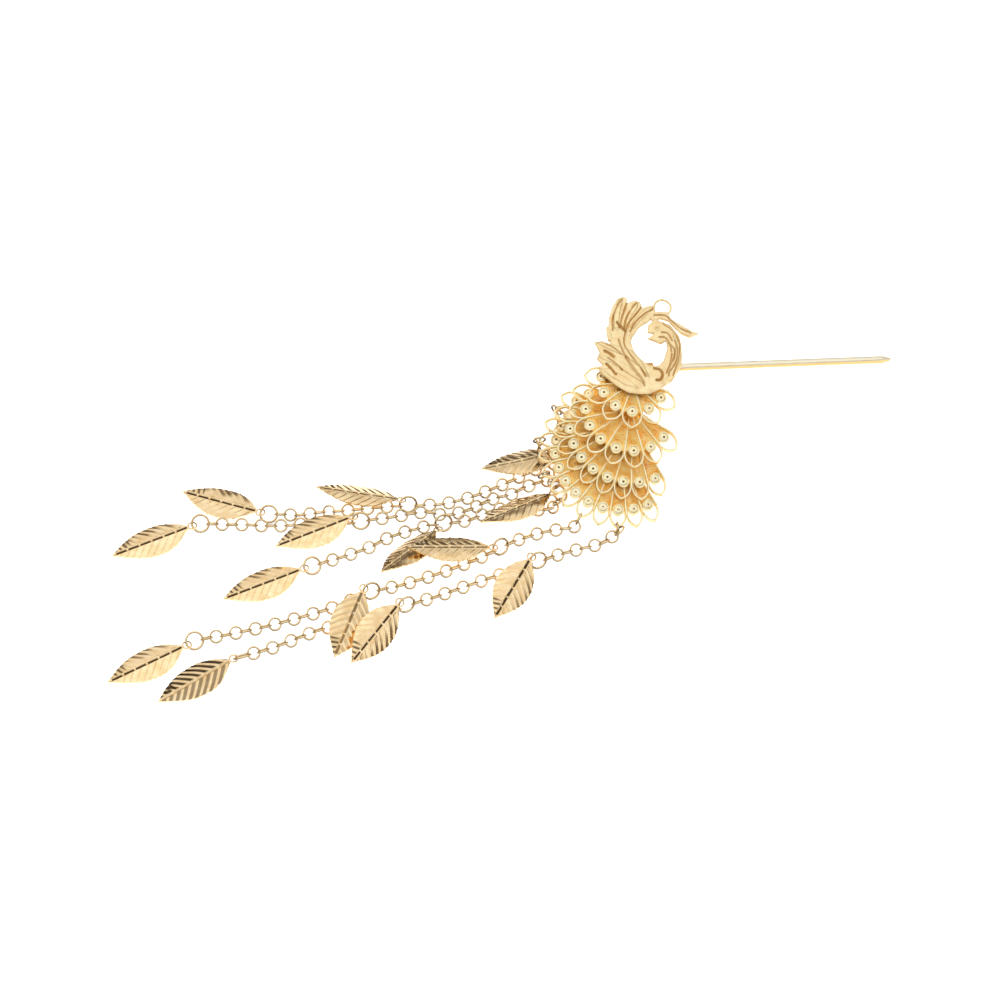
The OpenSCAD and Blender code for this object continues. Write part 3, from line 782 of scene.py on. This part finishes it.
def plates_mesh():
    """The bird's plates and plumes melted into one fine closed mesh, in the head's axes."""
    front = BIRD_BACK + BIRD_SHEET
    bm = bmesh.new()
    for outline in [BODY, CREST] + LOBES:
        slab(bm, [in_plane(p) for p in outline], BIRD_BACK, front)
    for outline in PLUMES:
        middle = BIRD_BACK + BIRD_SHEET / 2
        slab(bm, [in_plane(p) for p in outline], middle, front + PLUME_RISE)
    rough = bpy.data.meshes.new("bird_rough")
    bm.to_mesh(rough)
    bm.free()
    holder = bpy.data.objects.new("bird_rough", rough)
    scene.collection.objects.link(holder)
    fine = holder.modifiers.new("fine", "REMESH")
    fine.mode = "VOXEL"
    fine.voxel_size = BIRD_GRAIN
    ease = holder.modifiers.new("ease", "SMOOTH")
    ease.factor, ease.iterations = 0.5, 2
    bpy.context.view_layer.update()
    graph = bpy.context.evaluated_depsgraph_get()
    mesh = bpy.data.meshes.new_from_object(holder.evaluated_get(graph))
    bpy.data.objects.remove(holder)
    return mesh


def relief(xy):
    """How far the bird's front swells and is cut at each place, in millimetres."""
    outlines = [[in_plane(p) for p in o] for o in [BODY, CREST] + LOBES]
    edge = distance_to(outlines[:1], xy, True)
    rim = distance_to(outlines, xy, True)
    cuts, slots = cut_distances(xy)
    ribs = distance_to([[in_plane(p) for p in o] for o in PLUMES], xy, True)
    swell = 0.28 * (1 - np.exp(-edge / 1.4))
    swell -= 0.30 * np.exp(-(cuts / 0.17) ** 2) + 0.42 * np.exp(-(slots / 0.34) ** 4)
    swell -= 0.05 * np.cos(2 * math.pi * cuts / 0.62) * np.exp(-cuts / 2.4)
    swell += 0.05 * np.exp(-(ribs / 0.2) ** 2)
    swell -= 0.10 * np.exp(-(rim / 0.16) ** 2)
    ring = np.linalg.norm(xy - np.array(in_plane(BIRD_EYE)), axis=1)
    swell += 0.2 * np.exp(-((ring - 0.5) / 0.16) ** 2) - 0.2 * np.exp(-(ring / 0.25) ** 2)
    return swell


def curl_line():
    """The curl of wire over the head."""
    centre = in_plane(CURL_AT)
    reach = CURL_R / 100 * BIRD_H
    line = []
    for i in range(CURL_STEPS + 1):
        a = math.radians(CURL_FROM + CURL_SWEEP * i / CURL_STEPS)
        spot = (
            centre[0] + reach * math.cos(a), centre[1] + reach * math.sin(a), BIRD_BACK + 0.3,
        )
        line.append((on_head(spot), CURL_WIRE * MM))
    return line


def bird_painted_shade(mesh):
    """How much painted shade each vertex of the bird takes: in its cuts, and round its rims, where
    its sides turn away from its front.
    """
    axes = np.array(HEAD.to_3x3())
    flat = (points_of(mesh) / MM - np.array(HEAD.translation)) @ axes
    cuts, slots = cut_distances(flat[:, :2])
    hollow = 0.75 * np.exp(-(cuts / 0.2) ** 2) + np.exp(-(slots / 0.36) ** 4)
    hollow *= flat[:, 2] > BIRD_BACK + 0.2
    rise = np.array([v.normal for v in mesh.vertices]) @ axes[:, 2]
    return np.maximum(hollow, 0.6 * np.clip((0.5 - rise) / 0.4, 0, 1))


def bird():
    """The stamped bird with its curl of wire and its two studs."""
    mesh = plates_mesh()
    co = points_of(mesh)
    top = np.clip((co[:, 2] - BIRD_BACK - 0.3) / 0.3, 0, 1)
    co[:, 2] += relief(co[:, :2]) * top
    co = co @ np.array(HEAD.to_3x3()).T + np.array(HEAD.translation)
    mesh.vertices.foreach_set("co", (co * MM).ravel())
    mesh.update()
    smooth_all(mesh)
    curl = grown(
        "curl", line_mesh("curl", [curl_line()]), WIRES, {"Finish": MATTED, "Wire sides": 12},
    )
    parts = [(mesh, 0), (curl, 0)]
    for x, y in stud_spots():
        stud = lathe("stud", [(0.0001, 0), (STUD_R, 0), (STUD_R, STUD_H), (0.0001, STUD_H)], 16)
        stud.transform(Matrix.Translation(on_head((x, y, BIRD_BACK - 1.4))) @ TURNED)
        parts.append((stud, 0))
    stamping = joined("bird_stamping", parts)
    # painted shade in the bird's cuts and round its rims
    paint_shade(stamping, bird_painted_shade(stamping))
    piece = new_piece("bird_stamping", stamping, MATTED)
    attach(piece, "root")
    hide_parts("bird")


def stud_spots():
    """Where the bird's two studs stand, over the strip behind the tail."""
    swing = (TIER[0].right - TIER[-1].right) / (TIER[0].up - TIER[-1].up)

    def strip_x(up):
        return TIER[-1].right + (up - TIER[-1].up) * swing

    low, high = TIER[0].up + 3.6, TIER[0].up + 7.4
    return [(strip_x(low), low), (strip_x(high) - 1.3, high)]


# ---- Chains and jump rings

LINK_RING = {
    "Ring radius": 1.57 * MM, "Wire radius": 0.27 * MM, "Steps round": 22, "Wire sides": 8,
    "Finish": LINKS,
}
JUMP_RING = {
    "Ring radius": 2.22 * MM, "Wire radius": 0.31 * MM, "Steps round": 36, "Wire sides": 12,
    "Finish": LINKS,
}


def loose_parts(mesh):
    """The vertex places of each separate solid in a mesh."""
    parent = list(range(len(mesh.vertices)))

    def root(i):
        while parent[i] != i:
            parent[i] = parent[parent[i]]
            i = parent[i]
        return i

    for e in mesh.edges:
        a, b = root(e.vertices[0]), root(e.vertices[1])
        if a != b:
            parent[a] = b
    co = points_of(mesh)
    groups = {}
    for i in range(len(parent)):
        groups.setdefault(root(i), []).append(i)
    return [co[g] for g in groups.values()]


def ring_places(nodes):
    """Centre and turn of every wire ring in some CAD nodes."""
    places, turns = [], []
    for node in nodes:
        for co in loose_parts(merged_copy(node)):
            middle = co.mean(axis=0)
            _, _, axes = np.linalg.svd(co - middle, full_matrices=False)
            places.append(middle)
            turns.append(Vector(axes[2]).to_track_quat("Z", "Y").to_euler())
    return places, turns


def chain(number):
    """One chain's links as one piece, and its three jump rings as another."""
    name = f"chain_{number}"
    links = grown("links", point_mesh("links", *ring_places([name])), RINGS, LINK_RING)
    # painted shade: the links are darker on their undersides, standing in for dark reflections
    paint_shade(links, undersides(links, 0.6, 0.0))
    piece = new_piece(name + "_links", links, LINKS)
    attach(piece, "root")
    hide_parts(name)
    rings = [f"jump_ring_{number}_{n}" for n in (1, 2, 3)]
    mesh = grown("rings", point_mesh("rings", *ring_places(rings)), RINGS, JUMP_RING)
    # painted shade: the jump rings are darker on their undersides, standing in for dark
    # reflections
    paint_shade(mesh, undersides(mesh, 0.6, 0.0))
    piece = new_piece(name + "_jump_rings", mesh, LINKS)
    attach(piece, "root")
    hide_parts(*rings)


# ---- Leaves

LEAF_L = 22.8
LEAF_W = 9.7
LEAF_CURL = 16
LEAF_SHEET = 0.4
LEAF_SIDE = [
    # along, half width
    (0.05, 0.08), (0.09, 0.22), (0.16, 0.5), (0.26, 0.8), (0.38, 0.97), (0.48, 1), (0.6, 0.94),
    (0.72, 0.76), (0.83, 0.5), (0.92, 0.24), (0.97, 0.09), (1, 0.01),
]
SIDE_RIBS = 8
RIB_AT = 0.74  # where the crest of a side rib stands between its two edges
RIB_CUTS = 6
TIP_NICKS = 3
TEETH = 15
LEAF_ROWS, LEAF_COLUMNS = 130, 40
TAB_R = 1.12  # the ring by which a leaf hangs
TAB_WIRE = (0.225, 0.22)
TAB_DROP = -0.24
# the leaves with a painted dark reflection between their ribs: (chain, leaf) and how far
PAINTED_REFLECTION = {(5, 3): 0.95, (1, 1): 0.35, (4, 2): 0.3, (3, 2): 0.35, (4, 1): 0.25}


def rib_part(x, out):
    """How far a place lies between one side rib and the next, from 0 to 1."""
    step = (x - 0.8 * out - 0.04 * out ** 2) / (LEAF_L * 0.78 / SIDE_RIBS)
    return step - np.floor(step)


def leaf_height(x, y, depth):
    """How high the pressed sheet stands at x along and y across, in millimetres."""
    along = x / LEAF_L
    out = np.abs(y)
    curl = LEAF_CURL - np.sqrt(LEAF_CURL ** 2 - y ** 2)
    fade = np.clip((along - 0.05) / 0.1, 0, 1) * np.clip((1 - along) / 0.08, 0, 1)
    part = rib_part(x, out)
    shingle = np.where(part < RIB_AT, part / RIB_AT, (1 - part) / (1 - RIB_AT))
    crest = np.exp(-((part - RIB_AT) / 0.07) ** 2)
    clear = np.clip((out - 0.35) / 0.5, 0, 1)
    ribs = (0.10 * shingle + 0.05 * crest) * clear * depth
    middle = 0.10 * np.exp(-((out - 0.55) / 0.2) ** 2) - 0.22 * np.exp(-(out / 0.3) ** 4)
    wave = 0.05 * np.sin(x * 0.9 + 0.7) * np.sin(y * 1.1)
    return -curl + fade * (ribs + middle * (1.1 - 0.5 * along) - 0.06 + wave)


def leaf_painted_shade(x, y, painted_reflection):
    """How much painted shade the cut along the middle rib and the nicks beside the tip take,
    and how far a painted dark reflection darkens the panels between the ribs, at x and y."""
    along = x / LEAF_L
    out = np.abs(y)
    cut = (along - 0.06) * RIB_CUTS / 0.9
    part = cut - np.floor(cut)
    broken = np.clip((part - 0.02) / 0.05, 0, 1) * np.clip((0.93 - part) / 0.05, 0, 1)
    rib = np.exp(-(y / 0.33) ** 4) * broken * np.clip((0.97 - along) / 0.02, 0, 1)
    nick = (along - 0.76) * TIP_NICKS / 0.2 - 0.25 * out
    part = np.abs(nick - np.floor(nick) - 0.5)
    nicks = np.clip((0.26 - part) / 0.08, 0, 1) * np.clip((out - 0.5) / 0.15, 0, 1)
    nicks = nicks * np.clip((along - 0.74) / 0.02, 0, 1) * (y < 0)
    part = rib_part(x, out)
    # painted reflection: the panels between the ribs are darker, more so on one side
    panel = np.clip((0.7 - part) / 0.12, 0, 1) * np.clip(part / 0.08, 0, 1)
    panel = panel * np.clip((out - 0.35) / 0.2, 0, 1) * (0.75 + 0.25 * (y < 0))
    return rib * (1 - 0.8 * painted_reflection) + 0.85 * nicks + painted_reflection * panel


def leaf_side(along, seed):
    """Half the leaf's width at each share of its length, with its fine teeth."""
    table = np.array(LEAF_SIDE)
    fine = np.interp(along, table[:, 0], table[:, 1])
    for _ in range(6):
        fine[1:-1] = (fine[:-2] + 2 * fine[1:-1] + fine[2:]) / 4
    teeth = 1 + 0.018 * np.sin(along * 2 * math.pi * TEETH + seed)
    return fine * teeth * LEAF_W / 2


def sheet_faces(rows, columns):
    """The faces of a sheet's top, underside and four rims, by the numbers of its points."""
    wide = columns + 1
    n = (rows + 1) * wide
    faces = []
    for i in range(rows):
        for j in range(columns):
            a = i * wide + j
            faces.append((a, a + wide, a + wide + 1, a + 1))
            faces.append((n + a, n + a + 1, n + a + wide + 1, n + a + wide))
    for i in range(rows):
        a = i * wide
        faces.append((a, n + a, n + a + wide, a + wide))
        a = i * wide + columns
        faces.append((a, a + wide, n + a + wide, n + a))
    for j in range(columns):
        faces.append((j, j + 1, n + j + 1, n + j))
        a = rows * wide + j
        faces.append((a, n + a, n + a + 1, a + 1))
    return faces


def leaf_mesh(depth, seed, painted_reflection):
    """A pressed leaf with the ring of its tab, along the x axis from the tab's hole."""
    along = np.linspace(0.05, 1.0, LEAF_ROWS + 1)
    side = np.linspace(-1, 1, LEAF_COLUMNS + 1)
    side = np.sign(side) * np.abs(side) ** 1.35
    x = np.repeat(along * LEAF_L, LEAF_COLUMNS + 1)
    y = (leaf_side(along, seed)[:, None] * side[None, :]).ravel()
    top = leaf_height(x, y, depth)
    points = np.concatenate([np.c_[x, y, top], np.c_[x, y, top - LEAF_SHEET]])
    body = shell_mesh("leaf_body", points * MM, sheet_faces(LEAF_ROWS, LEAF_COLUMNS))
    smooth_all(body, sharp=50)
    ring = [
        (TAB_R + TAB_WIRE[0] * math.cos(a), TAB_DROP + TAB_WIRE[1] * math.sin(a))
        for a in [2 * math.pi * i / 10 for i in range(10)]
    ]
    tab = lathe("leaf_tab", ring + ring[:1], 28)
    leaf = joined("leaf", [(body, 0), (tab, 0)])
    x, y, z = points_of(leaf).T / MM
    face_up = z > leaf_height(x, y, depth) - 0.1
    # painted shade in the middle-rib cut and the nicks, and painted reflection between the ribs,
    # on the top face only
    paint_shade(leaf, leaf_painted_shade(x, y, painted_reflection) * face_up * (x > 1.6))
    return leaf


def leaf_place(node):
    """Where a leaf lies: from the hole in its tab to its tip, with its ribs up."""
    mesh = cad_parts[node].data
    co = points_of(mesh)
    corners = np.array([p.vertices[:] for p in mesh.polygons])
    a, b, c = co[corners[:, 0]], co[corners[:, 1]], co[corners[:, 2]]
    area = np.linalg.norm(np.cross(b - a, c - a), axis=1)
    middle = (a + b + c) / 3
    centre = (middle * area[:, None]).sum(axis=0) / area.sum()
    spread = ((middle - centre) * area[:, None]).T @ (middle - centre)
    axes = np.linalg.eigh(spread)[1]
    run, across = axes[:, 2], axes[:, 1]
    ends = (co - centre) @ run
    wide = np.abs((co - centre) @ across)
    near_end = 2.0 * MM  # the tab's end is wider there than the tip is
    if wide[ends > ends.max() - near_end].max() > wide[ends < ends.min() + near_end].max():
        run = -run
        ends = -ends
    tip = co[ends > ends.max() - 0.05 * MM].mean(axis=0)
    near = co[ends < ends.min() + 2.7 * MM]
    tab = near[np.abs((near - centre) @ across) < 0.5 * MM].mean(axis=0)
    run = tip - tab
    run = run / np.linalg.norm(run)
    across = across - run * (across @ run)
    across = across / np.linalg.norm(across)
    up = np.cross(run, across)
    if up[2] < 0:
        up, across = -up, -across
    hole = tip - run * LEAF_L * MM + up * TAB_WIRE[0] * MM
    place = Matrix.Identity(4)
    for i in range(3):
        place[i] = (run[i], across[i], up[i], hole[i])
    return place


def leaf(chain_number, n):
    """Leaf n of a chain. No two neighbours are pressed equally deep."""
    node = f"leaf_{chain_number}_{n}"
    depth = 0.85 + 0.3 * ((chain_number * 7 + n * 5) % 6) / 5
    # some leaves get a painted dark reflection between their ribs
    mesh = leaf_mesh(depth, chain_number + 2.1 * n, PAINTED_REFLECTION.get((chain_number, n), 0.0))
    mesh.transform(leaf_place(node))
    piece = new_piece(node + "_pressing", mesh, LEAF)
    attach(piece, "root")
    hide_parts(node)


# ---- Pin

PIN_R = 1.0
PIN_ROOT_R = 0.65
PIN_SHOULDER = 12.6
PIN_POINT = 3  # the length of the point


def pin_profile(length):
    """The pin's radius at each height from its root."""
    profile = [
        (0.0005, 0), (0.62, 0), (PIN_ROOT_R, 0.04), (PIN_ROOT_R, 7.5), (PIN_ROOT_R, 12.5),
        (0.68, 12.55), (PIN_R, PIN_SHOULDER),
    ]
    plain = length - PIN_SHOULDER - PIN_POINT
    profile += [(PIN_R, PIN_SHOULDER + plain * i / 24) for i in range(1, 25)]
    profile += [
        (PIN_R - 0.62 * s ** 1.25, length - PIN_POINT + 2.72 * s)
        for s in [0.1, 0.25, 0.4, 0.55, 0.7, 0.85, 1]
    ]
    return profile + [(0.3, length - 0.13), (0.18, length - 0.04), (0.0005, length)]


def hair_pin():
    """Drawn wire with a rounded shoulder and a blunt point."""
    co = points_of(merged_copy("hair_pin"))
    middle = co.mean(axis=0)
    _, _, axes = np.linalg.svd(co - middle, full_matrices=False)
    run = axes[0] if axes[0][0] > 0 else -axes[0]
    ends = (co - middle) @ run
    root = co[ends < ends.min() + 0.02 * MM].mean(axis=0)
    tip = co[ends > ends.max() - 0.02 * MM].mean(axis=0)
    run = tip - root
    mesh = lathe("pin_wire", pin_profile(np.linalg.norm(run) / MM), 32)
    turn = Vector(run).to_track_quat("Z", "Y").to_matrix().to_4x4()
    mesh.transform(Matrix.Translation(root) @ turn)
    # painted shade: a darker line along the pin's underside
    paint_shade(mesh, undersides(mesh, 0.55, 0.35))
    piece = new_piece("hair_pin_wire", mesh, WIRE)
    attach(piece, "root")
    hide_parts("hair_pin")


# ---- Stage

TABLE_HALF = 4  # metres
TABLE_GLOW = 0.8
SKY = [
    # from straight below to straight above: place, then red, green, blue
    (0.0, (0.7, 0.68, 0.66, 1)), (0.05, (0.10, 0.08, 0.06, 1)), (0.34, (0.22, 0.18, 0.14, 1)),
    (0.50, (0.96, 0.94, 0.92, 1)), (1.0, (1.0, 0.98, 0.96, 1)),
]
LAMPS = [
    # name, place and size in metres, power in watts
    ("key", (-0.45, -0.35, 0.75), 0.4, 0.2),
    ("top", (0.1, 0.35, 0.95), 0.6, 0.3),
    ("side", (0.75, -0.1, 0.5), 0.3, 0.12),
]
LENS, SENSOR = 135, 36
CAMERA_HEIGHT = 50  # degrees over the table
CAMERA_FAR = 0.994
CAMERA_AIM = Vector((-0.0028, 0.0086, 0))


def table():
    """The pale plain table, bright enough to be nearly white in the picture."""
    half = TABLE_HALF
    ground = bpy.data.meshes.new("table")
    corners = [(-half, -half, 0), (half, -half, 0), (half, half, 0), (-half, half, 0)]
    ground.from_pydata(corners, [], [(0, 1, 2, 3)])
    finish = bpy.data.materials.new("pale_table")
    finish.use_nodes = True
    bench = Bench(finish.node_tree)
    shader = finish.node_tree.nodes["Principled BSDF"]
    place = bench.node("ShaderNodeTexCoord", out="Object")
    cloud = bench.node(
        "ShaderNodeTexNoise", None, {"Vector": place, "Scale": 3.0, "Detail": 2.0},
    )
    colour = bench.mix(cloud, tint(252, 252, 252), tint(255, 255, 255))
    bench.put(shader.inputs["Base Color"], colour)
    shader.inputs["Roughness"].default_value = 0.9
    shader.inputs["Specular IOR Level"].default_value = 0.0
    shader.inputs["Emission Color"].default_value = (1, 1, 1, 1)
    shader.inputs["Emission Strength"].default_value = TABLE_GLOW
    floor = new_piece("table", ground, finish)


def studio():
    """The table, a pale room to be mirrored in the metal, and three soft lamps."""
    table()
    world = bpy.data.worlds.new("studio")
    scene.world = world
    world.use_nodes = True
    bench = Bench(world.node_tree)
    background = world.node_tree.nodes["Background"]
    way = bench.node("ShaderNodeTexCoord", out="Generated")
    height = bench.node("ShaderNodeSeparateXYZ", None, {0: way}, out="Z")
    sky = bench.node("ShaderNodeValToRGB", {"stops": SKY}, {0: height})
    bench.put(background.inputs["Color"], sky)
    background.inputs["Strength"].default_value = 1.0
    for name, spot, size, power in LAMPS:
        light = bpy.data.lights.new(name, "AREA")
        light.size, light.energy = size, power
        lamp = bpy.data.objects.new(name, light)
        lamp.location = spot
        lamp.rotation_euler = (-Vector(spot)).to_track_quat("-Z", "Y").to_euler()
        scene.collection.objects.link(lamp)
    scene.view_settings.view_transform = "Standard"


def camera():
    """The photograph's own view."""
    lens = bpy.data.cameras.new("camera")
    lens.lens, lens.sensor_width = LENS, SENSOR
    lens.clip_start = 0.01
    eye = bpy.data.objects.new("camera", lens)
    elevation = math.radians(CAMERA_HEIGHT)
    away = Vector((0, -math.cos(elevation), math.sin(elevation)))
    eye.location = CAMERA_AIM + away * CAMERA_FAR
    eye.rotation_euler = (-away).to_track_quat("-Z", "Y").to_euler()
    scene.collection.objects.link(eye)
    scene.camera = eye


def main():
    camera()
    studio()
    hair_pin()
    bird()
    stamp = eye_stamp()
    for number in range(len(TIERS)):
        tail_tier(number, stamp)
    bpy.data.objects.remove(stamp)
    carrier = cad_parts["tail_carrier"].data
    carrier.materials.clear()
    carrier.materials.append(BACK)
    for number in range(1, 6):
        chain(number)
        for n in (1, 2, 3):
            leaf(number, n)


main()
